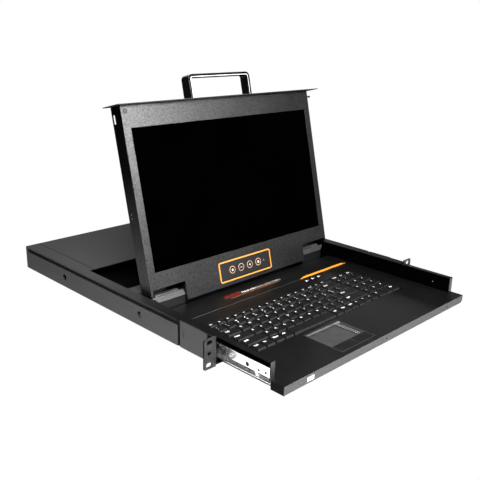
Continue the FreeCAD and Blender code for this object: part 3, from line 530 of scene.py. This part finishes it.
SHIFTED = {"1": "!", "2": "@", "3": "#", "4": "$", "5": "%", "6": "^", "7": "&", "8": "*",
           "9": "(", "0": ")", "-": "_", "=": "+", "[": "{", "]": "}", ";": ":", "'": '"',
           ",": "<", ".": ">", "/": "?", "`": "~", "\\": "|"}
LEGENDS = {
    "keys_function_row": ["Esc"] + ["F%d" % k for k in range(1, 13)] + ["PrtSc", "Ins", "Del"],
    "keys_number_row": list("`1234567890-=") + ["Back"],
    "keys_tab_row": ["Tab"] + list("QWERTYUIOP[]\\"),
    "keys_home_row": ["Caps"] + list("ASDFGHJKL;'") + ["Enter"],
    "keys_shift_row": ["Shift"] + list("ZXCVBNM,./") + ["Shift"],
    "keys_space_row": ["Ctrl", "Fn", "Menu", "Alt", "Alt", "App", "Ctrl", "<", "v", ">"],
    "keys_number_pad": ["0", ".", "Ent", "1", "2", "3", "4", "5", "6", "7", "8", "9",
                        "/", "*", "-", "Num", "Scr", "Brk"],
}


CAP_EDGE, BUTTON_EDGE = 0.4 * MM, 0.3 * MM
# Offsets from a cap's rear left corner, and the heights of the legends.
LEGEND_IN, LEGEND_DOWN, SECOND_DOWN = 2.4 * MM, 2.2 * MM, 5.6 * MM
FUNCTION_H, WORD_H, UPPER_H, LOWER_H, LETTER_H = (h * MM for h in (2.3, 3.3, 2.6, 2.9, 3.2))


def legends(node, labels):
    """Prints each cap's legend near its rear left corner."""
    bm = bmesh.new()
    at = Matrix.Translation((0, 0, key_z))
    pad = node == "keys_number_pad"
    for (x0, x1, y0, y1), label in zip(cap_tops(node), labels):
        x, y = x0 + LEGEND_IN, y1 - LEGEND_DOWN
        if node == "keys_function_row":
            text_mesh(bm, label, x, y, FUNCTION_H, at)
        elif len(label) > 1:
            text_mesh(bm, label, x, y, WORD_H, at)
        elif label in SHIFTED and not pad:
            text_mesh(bm, SHIFTED[label], x, y, UPPER_H, at)
            text_mesh(bm, label, x, y - SECOND_DOWN, LOWER_H, at)
        else:
            text_mesh(bm, label, x, y, LETTER_H, at)
    add_object(node + "_legends", bm, white, node)


for node, labels in LEGENDS.items():
    legends(node, labels)
    soften(node, CAP_EDGE)
soften("key_space", CAP_EDGE)
for node in ("touchpad_button_left", "touchpad_button_right"):
    soften(node, BUTTON_EDGE)


# ---------------------------------------------------------------- deck print

# All in mm on the deck: first stroke, size, pitch, and more room after each group.
RED_AT, RED_SIZE, RED_PITCH, RED_GAP = (-80.0, 129.0), (1.9, 10.0), 3.3, 2.0
RED_COUNT, RED_GROUP, RED_FIRST_H = 9, 3, 8.5
PALE_AT, PALE_W, PALE_PITCH, PALE_GAP = (-43.0, 130.0), 1.6, 3.4, 5.2
PALE_HEIGHTS = (5.6, 4.0, 4.6, 3.6, 5.4, 3.8, 4.2)
PALE_GROUP = 5
UNDERLINE = ((-72.0, 125.3), (41.0, 126.6), (41.0, 127.4), (-72.0, 126.2))
ACCENT = ((73.0, 107.5), (199.0, 107.5), (190.0, 112.2), (87.0, 112.2))
ACCENT_T = 0.6


def slanted(bm, x, y, width, height, lean):
    """One leaning stroke of print on the deck, in mm."""
    outline = ((x, y), (x + width, y), (x + width + lean * height, y + height),
               (x + lean * height, y + height))
    add_prism(bm, [(px * MM, py * MM) for px, py in outline], 0, PRINT, deck_at)


def deck_shape(name, outline, thick, mat):
    """A flat shape on the deck; outline in mm."""
    bm = bmesh.new()
    add_prism(bm, [(x * MM, y * MM) for x, y in outline], 0, thick, deck_at)
    add_object(name, bm, mat, "tray")


def deck_print():
    """A row of plain leaning strokes in red and white, underlined, and the accent bar."""
    bm = bmesh.new()
    for k in range(RED_COUNT):
        x = RED_AT[0] + RED_PITCH * k + RED_GAP * (k // RED_GROUP)
        height = RED_SIZE[1] if k % RED_GROUP else RED_FIRST_H
        slanted(bm, x, RED_AT[1], RED_SIZE[0], height, 0.35)
    add_object("red_strokes", bm, red, "tray")
    x = PALE_AT[0]
    for name, mat, count in (("white_strokes", pale, 9), ("faint_strokes", faint, 16)):
        bm = bmesh.new()
        for k in range(count):
            height = PALE_HEIGHTS[k % len(PALE_HEIGHTS)]
            slanted(bm, x, PALE_AT[1], PALE_W, height, 0.2)
            x += PALE_PITCH if k % PALE_GROUP < PALE_GROUP - 1 else PALE_GAP
        add_object(name, bm, mat, "tray")
    deck_shape("underline", UNDERLINE, PRINT, rust)
    deck_shape("accent_bar", ACCENT, ACCENT_T * MM, orange)


deck_print()


# In mm on the deck.
LOCK_X = (75.5, 91.5, 107.0)
LOCK_Y = 94.5
LOCK_PARTS = ((0, 0, 3.2, 2.6), (0.5, 2.6, 0.5, 1.6), (2.2, 2.6, 0.5, 1.6),
              (0.5, 3.9, 2.2, 0.5))        # body, two legs and bow: x, y, width, height
LOCK_IN = 1.6                              # half the width of a lock
LIGHT_SIDE, LIGHT_UP, LIGHT_R = 4.5, 2.0, 0.8   # light from the middle of its lock


def lock_marks():
    """Three small padlock symbols, each with a light beside it, behind the keys."""
    bm = bmesh.new()
    for x in LOCK_X:
        for px, py, w, h in LOCK_PARTS:
            x0, y0 = (x - LOCK_IN + px) * MM, (LOCK_Y + py) * MM
            x1, y1 = x0 + w * MM, y0 + h * MM
            add_prism(bm, [(x0, y0), (x1, y0), (x1, y1), (x0, y1)], 0, PRINT, deck_at)
    add_object("lock_marks", bm, white, "tray")
    bm = bmesh.new()
    for x in LOCK_X:
        add_prism(bm, circle((x + LIGHT_SIDE) * MM, (LOCK_Y + LIGHT_UP) * MM, LIGHT_R * MM, 16),
                  0, 0.2 * MM, deck_at)
    add_object("lock_lights", bm, pale, "tray")


lock_marks()


# ---------------------------------------------------------------- touchpad

# In mm: places out from the right edge of the pad, and before and behind its rear edge.
TICKS = 11
TICK_OUT, TICK_SIZE = (2.0, 5.6), (2.0, 1.0)
TICK_DEPTH = 0.9            # ticks lie this far below the frame's ridge
RIDGE_FRONT, RIDGE_REAR, RIDGE_R, RIDGE_T = 1.0, 1.6, 0.6, 0.25


def pad_marks():
    """Two rows of ticks along the scroll strip, and the light ridge behind the pad."""
    low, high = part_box("touchpad_plate")
    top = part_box("touchpad_frame")[1].z
    bm = bmesh.new()
    at = Matrix.Translation((0, 0, top - TICK_DEPTH * MM))
    for k in range(TICKS):
        y = low.y + (high.y - low.y) * (k + 0.5) / TICKS
        y0, y1 = y - TICK_SIZE[1] / 2 * MM, y + TICK_SIZE[1] / 2 * MM
        for out in TICK_OUT:
            x0 = high.x + out * MM
            x1 = x0 + TICK_SIZE[0] * MM
            add_prism(bm, [(x0, y0), (x1, y0), (x1, y1), (x0, y1)], 0, 0.05 * MM, at)
    add_object("scroll_marks", bm, faint, "tray")
    bm = bmesh.new()
    add_prism(bm, rounded(low.x, high.x, high.y - RIDGE_FRONT * MM, high.y + RIDGE_REAR * MM,
                          RIDGE_R * MM), 0, RIDGE_T * MM, Matrix.Translation((0, 0, top)))
    add_object("pad_ridge", bm, pad_light, "tray")


pad_marks()


# ---------------------------------------------------------------- screen

# In mm on the bezel, up from the hinge axis.
PANEL_Y = (-6.7, 27.3)      # lower and upper edge of the button panel
PANEL_EDGE, PANEL_FACE_T = 2.0, 0.25
BUTTON_FIRST, BUTTON_PITCH, BUTTON_UP = -38.5, 20.0, 10.6
BUTTON_FACE = 0.9           # faces of the buttons before the bezel
SYMBOL_T, CROSS_T = 0.06, 0.07
LIGHT_X = 35.2


def symbol(bm, outline, x, thick):
    """One part of a button's symbol; outline in mm round the middle of the button at x."""
    points = [((x + px) * MM, (BUTTON_UP + py) * MM) for px, py in outline]
    add_prism(bm, points, BUTTON_FACE * MM, (BUTTON_FACE + thick) * MM, screen_at)


def button_panel():
    """Dark plate inside the gilt frame, symbols on the four buttons and a light."""
    low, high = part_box("button_frame")
    bm = bmesh.new()
    add_prism(bm, rounded(low.x + PANEL_EDGE * MM, high.x - PANEL_EDGE * MM,
                          (PANEL_Y[0] + PANEL_EDGE) * MM, (PANEL_Y[1] - PANEL_EDGE) * MM,
                          PANEL_EDGE * MM), 0, PANEL_FACE_T * MM, screen_at)
    add_object("button_panel_face", bm, coat_deck, "screen")
    bar = rounded(-2, 2, -0.4, 0.4, 0.2, 2)
    symbols = (
        (((-1.8, -0.2), (1.8, -0.2), (0, 2.2)), rounded(-1.1, 1.1, -2, 0, 0.1, 1)),
        (bar,),
        (bar, rounded(-0.4, 0.4, -2, 2, 0.2, 2)),
        (bar, rounded(-2, 2, -1.85, -1.15, 0.2, 2), rounded(-2, 2, 1.15, 1.85, 0.2, 2)),
    )
    for k, outlines in enumerate(symbols):
        bm = bmesh.new()
        for n, outline in enumerate(outlines):
            # What crosses or joins a bar stands a little prouder than the bar.
            thick = CROSS_T if n and k > 1 else SYMBOL_T
            symbol(bm, outline, BUTTON_FIRST + BUTTON_PITCH * k, thick)
        add_object("menu_symbol_%d" % (k + 1), bm, pale, "menu_button_%d" % (k + 1))
    bm = bmesh.new()
    add_prism(bm, circle(LIGHT_X * MM, BUTTON_UP * MM, 1.0 * MM, 16), 0.2 * MM, 0.5 * MM,
              screen_at)
    add_object("status_light", bm, copper, "screen")


button_panel()


# In mm on the bezel.
BUMPER_X, BUMPER_UP = 196.1, 279.1
BUMPER_STEPS = ((4.0, 0.0, 0.5), (3.0, 0.5, 0.7))      # radius, lower and upper face


def bumpers():
    """A stepped round bumper in both upper corners of the bezel."""
    bm = bmesh.new()
    for side in (-1, 1):
        for r, z0, z1 in BUMPER_STEPS:
            add_prism(bm, circle(side * BUMPER_X * MM, BUMPER_UP * MM, r * MM), z0 * MM, z1 * MM,
                      screen_at)
    add_object("bezel_bumpers", bm, coat_deck, "screen")


bumpers()


# In mm.
GRIP_IN, GRIP_T, GRIP_R = 61.9, 4.5, 3.5   # inner half width, bar thickness, inner corner
GRIP_LEG, GRIP_BACK = 33.0, 3.7            # line down the legs; face behind the bezel
# Width, thickness and corner steps of the painted highlight.
HIGHLIGHT_W, HIGHLIGHT_T, HIGHLIGHT_STEPS = 0.9, 0.1, 5


def grip_highlight():
    """A painted highlight: a light line round the inner edge of the handle's front face."""
    to_screen = screen_at.inverted()
    handle = frame["nodes"]["handle"]
    high = max((to_screen @ handle.matrix_world @ v.co).y for v in handle.data.vertices)
    half, top, r = GRIP_IN * MM, high - GRIP_T * MM, GRIP_R * MM
    foot = top - GRIP_LEG * MM

    def arch(grow):
        points = [(-half - grow, foot)]
        for cx, start in ((-half + r, 180), (half - r, 90)):
            for k in range(HIGHLIGHT_STEPS + 1):
                a = math.radians(start - 90 * k / HIGHLIGHT_STEPS)
                points.append((cx + (r + grow) * math.cos(a),
                               top - r + (r + grow) * math.sin(a)))
        return points + [(half + grow, foot)]

    bm = bmesh.new()
    add_prism(bm, arch(HIGHLIGHT_W * MM) + arch(0.0)[::-1], -GRIP_BACK * MM,
              (HIGHLIGHT_T - GRIP_BACK) * MM, screen_at)
    add_object("grip_highlight", bm, pale, "screen")


grip_highlight()


LABEL_X = (-173.6, -160.0)  # mm
LABEL_DOWN = (9.2, 3.4)     # lower and upper edge below the deck, in mm


def lip_label():
    """A small blank label on the lip of the deck."""
    bm = bmesh.new()
    at = (Matrix.Translation((0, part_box("deck_plate")[0].y, 0))
          @ Matrix.Rotation(math.radians(90), 4, "X"))
    add_prism(bm, rounded(LABEL_X[0] * MM, LABEL_X[1] * MM, deck_z - LABEL_DOWN[0] * MM,
                          deck_z - LABEL_DOWN[1] * MM, 0.6 * MM), 0, PRINT, at)
    add_object("lip_label", bm, pale, "tray")


lip_label()


# In mm.
TRACK_Z, TRACK_X, TRACK_HALF = -8.05, 211.6, 0.7
TRACK_R, TRACK_T = 0.5, 0.08
TRACKS = ((-82.6, -66.8), (-60.6, -19.8))  # front and rear end of each stretch


def slide_track_shade():
    """Strips of painted shade low on both drawer members, along the grooves in shadow."""
    bm = bmesh.new()
    for side in (-1, 1):
        turn = (Matrix.Translation((side * TRACK_X * MM, 0, 0))
                @ Matrix.Rotation(math.radians(90) * side, 4, "Y"))
        middle = -side * TRACK_Z
        for y0, y1 in TRACKS:
            points = rounded((middle - TRACK_HALF) * MM, (middle + TRACK_HALF) * MM, y0 * MM,
                             y1 * MM, TRACK_R * MM, 3)
            add_prism(bm, points, 0, TRACK_T * MM, turn)
    add_object("slide_track_shade", bm, zinc_shade, "tray")


slide_track_shade()


SEAM_HALF, SEAM_T, SEAM_LIFT = 0.5, 0.05, 0.01     # mm


def cover_seams():
    """The dark joints between the rear cover and the rims beside it."""
    low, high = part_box("rear_cover")
    half, z0 = SEAM_HALF * MM, high.z + SEAM_LIFT * MM
    bm = bmesh.new()
    for x in (low.x, high.x):
        add_prism(bm, [(x - half, low.y), (x + half, low.y), (x + half, high.y),
                       (x - half, high.y)], z0, z0 + SEAM_T * MM)
    add_object("cover_seams", bm, coat_shade_and_joints, "chassis")


cover_seams()


# ---------------------------------------------------------------- stage

def area_light(name, at, to, size, power, spread=180):
    """A rectangular light at one point, aimed at another; power in W, spread in degrees."""
    data = bpy.data.lights.new(name, "AREA")
    data.shape = "RECTANGLE"
    data.size, data.size_y = size
    data.energy = power
    data.spread = math.radians(spread)
    obj = bpy.data.objects.new(name, data)
    obj.location = at
    obj.rotation_euler = (Vector(to) - Vector(at)).to_track_quat("-Z", "Y").to_euler()
    bpy.context.scene.collection.objects.link(obj)


def white_for_camera(tree, shade, out):
    """White where the camera sees it, and shade for every other ray."""
    path = tree.nodes.new("ShaderNodeLightPath")
    mix = tree.nodes.new("ShaderNodeMixShader")
    plain = tree.nodes.new("ShaderNodeEmission")
    plain.inputs["Color"].default_value = (1, 1, 1, 1)
    plain.inputs["Strength"].default_value = 1.0
    tree.links.new(path.outputs["Is Camera Ray"], mix.inputs["Fac"])
    tree.links.new(shade, mix.inputs[1])
    tree.links.new(plain.outputs["Emission"], mix.inputs[2])
    tree.links.new(mix.outputs["Shader"], out)


WORLD_GLOW, FLOOR_GREY, FLOOR_HALF, FLOOR_GAP = 0.03, 0.45, 6, 0.3 * MM


def studio():
    """A dim world and a grey floor, both white to the camera, and five lights."""
    world = bpy.data.worlds.new("studio")
    bpy.context.scene.world = world
    world.use_nodes = True
    tree = world.node_tree
    back = tree.nodes["Background"]
    back.inputs["Color"].default_value = (1, 1, 1, 1)
    back.inputs["Strength"].default_value = WORLD_GLOW
    white_for_camera(tree, back.outputs["Background"], tree.nodes["World Output"].inputs[0])

    bm = bmesh.new()
    bmesh.ops.create_grid(bm, x_segments=1, y_segments=1, size=FLOOR_HALF)
    mesh = bpy.data.meshes.new("floor")
    bm.to_mesh(mesh)
    bm.free()
    floor = bpy.data.objects.new("floor", mesh)
    floor.location.z = size_loaded[0].z - FLOOR_GAP
    bpy.context.scene.collection.objects.link(floor)
    mat, tree, shader = new_material("floor")
    shader.inputs["Base Color"].default_value = (FLOOR_GREY, FLOOR_GREY, FLOOR_GREY, 1)
    shader.inputs["Roughness"].default_value = 0.8
    white_for_camera(tree, shader.outputs["BSDF"], tree.nodes["Material Output"].inputs[0])
    mesh.materials.append(mat)

    area_light("front", (0.76, -1.73, 1.00), (-0.03, 0.23, 0.18), (0.6, 0.8), 5.2, 40)
    area_light("rear", (0.7, 2.0, 1.1), (0, 0.3, 0), (0.8, 0.5), 2.4)
    area_light("rear_low", (2.0, 1.25, 0.55), (0.1, 0, 0), (0.8, 0.4), 0.9)
    area_light("floor_side", (-0.58, -0.50, 1.0), (-0.46, -0.34, 0), (0.5, 0.5), 34, 130)
    area_light("floor_front", (0.1, -0.42, 0.28), (0.1, -0.44, 0), (0.7, 0.12), 6, 100)


studio()

scene = bpy.context.scene
scene.view_settings.view_transform = "Standard"
